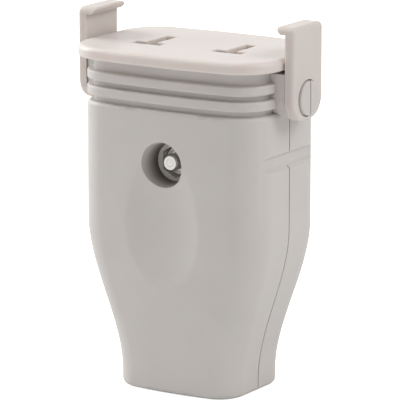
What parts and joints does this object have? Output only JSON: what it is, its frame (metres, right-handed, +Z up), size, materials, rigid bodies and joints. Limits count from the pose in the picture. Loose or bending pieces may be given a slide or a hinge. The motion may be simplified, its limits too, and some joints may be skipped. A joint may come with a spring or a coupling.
{
  "type": "inline socket connector",
  "caption": "Tapered two-part cord-end socket with T-shaped blade slots in an oval face, grip ribs round its collar and swinging hooked latch arms at its sides.",
  "frame": {"origin": "centre of the overall box at the rim of the cord neck, on which the part stands", "axes": "+X across the two blade slots, +Y from the front with the nut to the back with the screw head, +Z up the part from the cord neck to the socket face"},
  "size_m": [0.0348, 0.0218, 0.0512],
  "materials": {
    "shell": "moulded pale grey, faintly textured",
    "face": "moulded warm off-white, satin",
    "arm": "moulded warm pale grey, satin",
    "contact": "bare folded sheet",
    "washer": "bare pressed sheet",
    "clamp": "moulded pale grey",
    "steel": "bright plated"
  },
  "bodies": {
    "housing": {"front_shell": "shell", "rear_shell": "shell", "socket_insert": "face", "right_contact": "contact", "left_contact": "contact", "right_terminal_screw": "steel", "left_terminal_screw": "steel", "right_terminal_washer": "washer", "left_terminal_washer": "washer", "cord_clamp": "clamp", "cord_clamp_screws": "steel", "assembly_screw": "steel", "assembly_nut": "steel"},
    "left_latch": {"left_latch_arm": "arm"},
    "right_latch": {"right_latch_arm": "arm"}
  },
  "joints": [
    {"name": "left_latch_swing", "type": "hinge", "parent": "housing", "child": "left_latch", "pos_m": [-0.0164, 0, 0.04135], "axis": [1, 0, 0], "range_deg": [-180, 180]},
    {"name": "right_latch_swing", "type": "hinge", "parent": "housing", "child": "right_latch", "pos_m": [0.0164, 0, 0.04135], "axis": [1, 0, 0], "range_deg": [-180, 180]}
  ]
}
